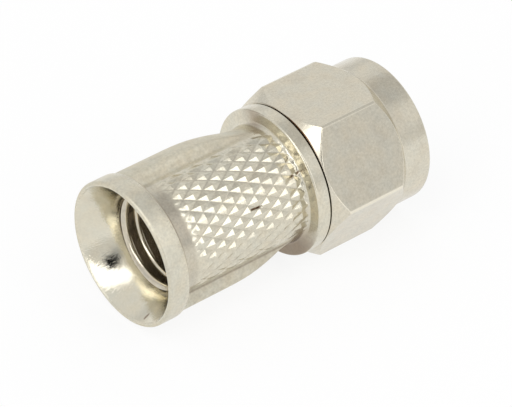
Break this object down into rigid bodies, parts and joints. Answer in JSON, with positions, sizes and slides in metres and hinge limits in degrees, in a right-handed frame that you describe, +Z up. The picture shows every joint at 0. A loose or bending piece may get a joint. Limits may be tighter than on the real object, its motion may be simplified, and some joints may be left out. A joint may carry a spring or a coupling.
{
  "type": "coaxial f connector plug",
  "caption": "Twist-on coaxial plug: flared cable mouth, diamond-knurled barrel with smooth side wings, rear flange and a free-turning hex coupling nut with a round collar.",
  "frame": {"origin": "on the plug's axis at the contact plane, where the mating jack's end meets the front of the ferrule's flange", "axes": "+X along the axis, out of the mating end; +Z up, with the plug lying on one flat of its nut; +Y to the side"},
  "size_m": [0.0231, 0.0126, 0.011],
  "materials": {
    "body_nickel": "bright nickel plating on die-cast zinc",
    "nut_nickel": "satin nickel plating on turned brass",
    "ferrule_nickel": "satin nickel plating on turned brass"
  },
  "bodies": {
    "body": {"body": "body_nickel", "retaining_ferrule": "ferrule_nickel"},
    "nut": {"coupling_nut": "nut_nickel"}
  },
  "joints": [
    {"name": "nut_spin", "type": "hinge", "parent": "body", "child": "nut", "pos_m": [0, 0, 0], "axis": [1, 0, 0], "continuous": true}
  ]
}
